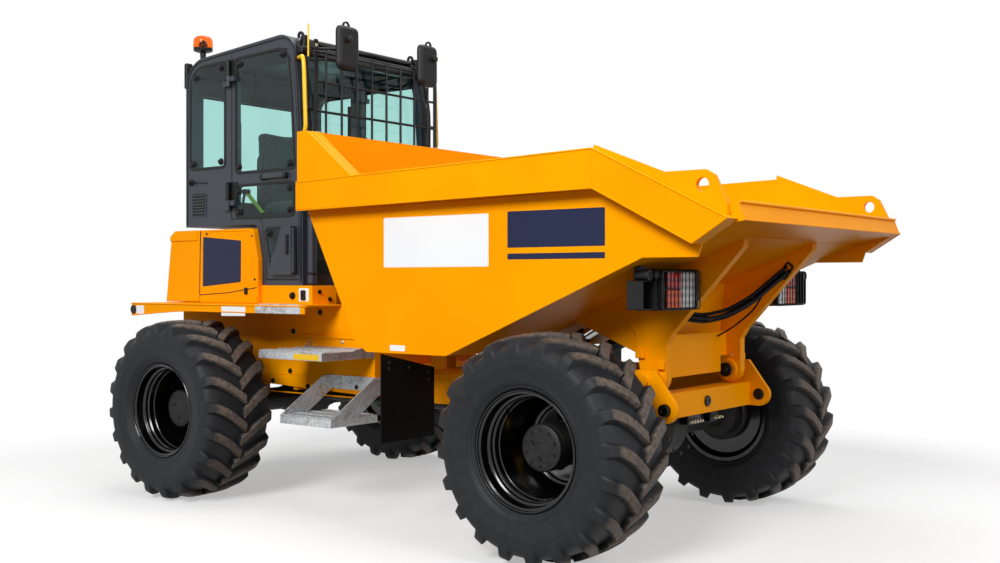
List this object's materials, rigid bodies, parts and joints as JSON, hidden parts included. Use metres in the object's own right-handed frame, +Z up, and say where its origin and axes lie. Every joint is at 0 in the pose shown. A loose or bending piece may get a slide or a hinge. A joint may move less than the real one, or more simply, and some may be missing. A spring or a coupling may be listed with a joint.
{
  "type": "articulated site dumper",
  "caption": "Articulated four-wheel site dumper with a straight-tip skip ahead of the driver and a full glazed cab over a rear engine.",
  "frame": {"origin": "on the floor under the middle of the machine's length and width", "axes": "+Z up, the machine faces -Y, its right side is -X"},
  "size_m": [2.552, 4.664, 3.15],
  "materials": {
    "orange_paint": "gloss",
    "grey_paint": "satin",
    "black_paint": "gloss",
    "yellow_paint": "gloss",
    "grey_casting": "matt",
    "chrome_rod": "polished",
    "tyre_rubber": "matt",
    "flap_rubber": "matt",
    "black_plastic": "matt",
    "galvanised": "spangled",
    "tinted_glass": "clear",
    "seat_cloth": "woven",
    "amber_lens": "clear",
    "red_lens": "clear"
  },
  "bodies": {
    "rear_frame": {"rear_chassis": "orange_paint", "rear_axle": "grey_casting", "decks": "orange_paint", "steps": "galvanised", "engine_cover": "orange_paint", "engine_block": "grey_casting", "cab_base": "orange_paint", "cab_frame": "grey_paint", "cab_roof": "grey_paint", "cab_glass": "tinted_glass", "front_grille": "black_paint", "handrails": "yellow_paint", "mirrors": "black_plastic", "seat": "seat_cloth", "console": "black_plastic", "beacon_stalk": "black_paint", "beacon": "amber_lens", "cab_posts": "grey_paint", "tail_lamps": "red_lens"},
    "front_frame": {"front_chassis": "orange_paint", "front_beam": "orange_paint", "front_yoke": "orange_paint", "flap_brackets": "orange_paint", "front_axle": "grey_casting", "mudflaps": "flap_rubber"},
    "skip": {"skip_tub": "orange_paint", "skip_rim": "orange_paint", "skip_gussets": "orange_paint", "skip_lugs": "orange_paint", "skip_head": "orange_paint", "skip_lip": "orange_paint", "skip_arms": "orange_paint", "skip_lamps": "black_plastic", "lamp_lenses": "red_lens", "lamp_guards": "black_paint"},
    "bonnet": {"bonnet": "orange_paint"},
    "steer_barrel": {"steer_barrel": "black_paint"},
    "steer_rod": {"steer_rod": "chrome_rod"},
    "door_right": {"door_right": "grey_paint", "door_glass_right": "tinted_glass"},
    "tip_barrel_right": {"tip_barrel_right": "black_paint"},
    "tip_rod_right": {"tip_rod_right": "chrome_rod"},
    "wheel_front_right": {"tyre_front_right": "tyre_rubber", "rim_front_right": "black_paint", "hub_front_right": "grey_casting"},
    "wheel_rear_right": {"tyre_rear_right": "tyre_rubber", "rim_rear_right": "black_paint", "hub_rear_right": "grey_casting"},
    "door_left": {"door_left": "grey_paint", "door_glass_left": "tinted_glass"},
    "tip_barrel_left": {"tip_barrel_left": "black_paint"},
    "tip_rod_left": {"tip_rod_left": "chrome_rod"},
    "wheel_front_left": {"tyre_front_left": "tyre_rubber", "rim_front_left": "black_paint", "hub_front_left": "grey_casting"},
    "wheel_rear_left": {"tyre_rear_left": "tyre_rubber", "rim_rear_left": "black_paint", "hub_rear_left": "grey_casting"}
  },
  "joints": [
    {"name": "steering", "type": "hinge", "parent": "rear_frame", "child": "front_frame", "pos_m": [0, 0.142, 0.775], "axis": [0, 0, 1], "range_deg": [-30, 30]},
    {"name": "skip_tip", "type": "hinge", "parent": "front_frame", "child": "skip", "pos_m": [0, -1.548, 0.88], "axis": [1, 0, 0], "range_deg": [0, 70]},
    {"name": "tip_barrel_right_swing", "type": "hinge", "parent": "front_frame", "child": "tip_barrel_right", "pos_m": [-0.27, -0.308, 0.7], "axis": [1, 0, 0], "range_deg": [0, 3.17]},
    {"name": "tip_rod_right_slide", "type": "slide", "parent": "tip_barrel_right", "child": "tip_rod_right", "axis": [0, -0.8743, 0.4854], "range_m": [0, 0.5707]},
    {"name": "tip_barrel_left_swing", "type": "hinge", "parent": "front_frame", "child": "tip_barrel_left", "pos_m": [0.27, -0.308, 0.7], "axis": [1, 0, 0], "range_deg": [0, 3.17]},
    {"name": "tip_rod_left_slide", "type": "slide", "parent": "tip_barrel_left", "child": "tip_rod_left", "axis": [0, -0.8743, 0.4854], "range_m": [0, 0.5707]},
    {"name": "steer_barrel_swing", "type": "hinge", "parent": "rear_frame", "child": "steer_barrel", "pos_m": [0.33, 0.742, 0.76], "axis": [0, 0, 1], "range_deg": [-7.89, 7.89]},
    {"name": "steer_rod_slide", "type": "slide", "parent": "steer_barrel", "child": "steer_rod", "axis": [0, -1, 0], "range_m": [-0.1715, 0.1715]},
    {"name": "wheel_front_right_spin", "type": "hinge", "parent": "front_frame", "child": "wheel_front_right", "pos_m": [-1.026, -1.2905, 0.57], "axis": [1, 0, 0], "continuous": true},
    {"name": "wheel_front_left_spin", "type": "hinge", "parent": "front_frame", "child": "wheel_front_left", "pos_m": [1.026, -1.2905, 0.57], "axis": [1, 0, 0], "continuous": true},
    {"name": "wheel_rear_right_spin", "type": "hinge", "parent": "rear_frame", "child": "wheel_rear_right", "pos_m": [-1.026, 1.5745, 0.57], "axis": [1, 0, 0], "continuous": true},
    {"name": "wheel_rear_left_spin", "type": "hinge", "parent": "rear_frame", "child": "wheel_rear_left", "pos_m": [1.026, 1.5745, 0.57], "axis": [1, 0, 0], "continuous": true},
    {"name": "door_right_swing", "type": "hinge", "parent": "rear_frame", "child": "door_right", "pos_m": [-0.65, 1.6445, 2.1], "axis": [0, 0, -1], "range_deg": [0, 100]},
    {"name": "door_left_swing", "type": "hinge", "parent": "rear_frame", "child": "door_left", "pos_m": [0.65, 1.6445, 2.1], "axis": [0, 0, 1], "range_deg": [0, 100]},
    {"name": "bonnet_swing", "type": "hinge", "parent": "rear_frame", "child": "bonnet", "pos_m": [0.665, 1.942, 1.5], "axis": [0, 0, -1], "range_deg": [0, 80]}
  ],
  "couplings": [
    {"joint": "tip_barrel_right_swing", "follows": "skip_tip", "ratio": 0.04237},
    {"joint": "tip_rod_right_slide", "follows": "skip_tip", "m_per_rad": 0.46628},
    {"joint": "tip_barrel_left_swing", "follows": "skip_tip", "ratio": 0.04237},
    {"joint": "tip_rod_left_slide", "follows": "skip_tip", "m_per_rad": 0.46628},
    {"joint": "steer_barrel_swing", "follows": "steering", "ratio": 0.25286},
    {"joint": "steer_rod_slide", "follows": "steering", "m_per_rad": -0.32364}
  ]
}
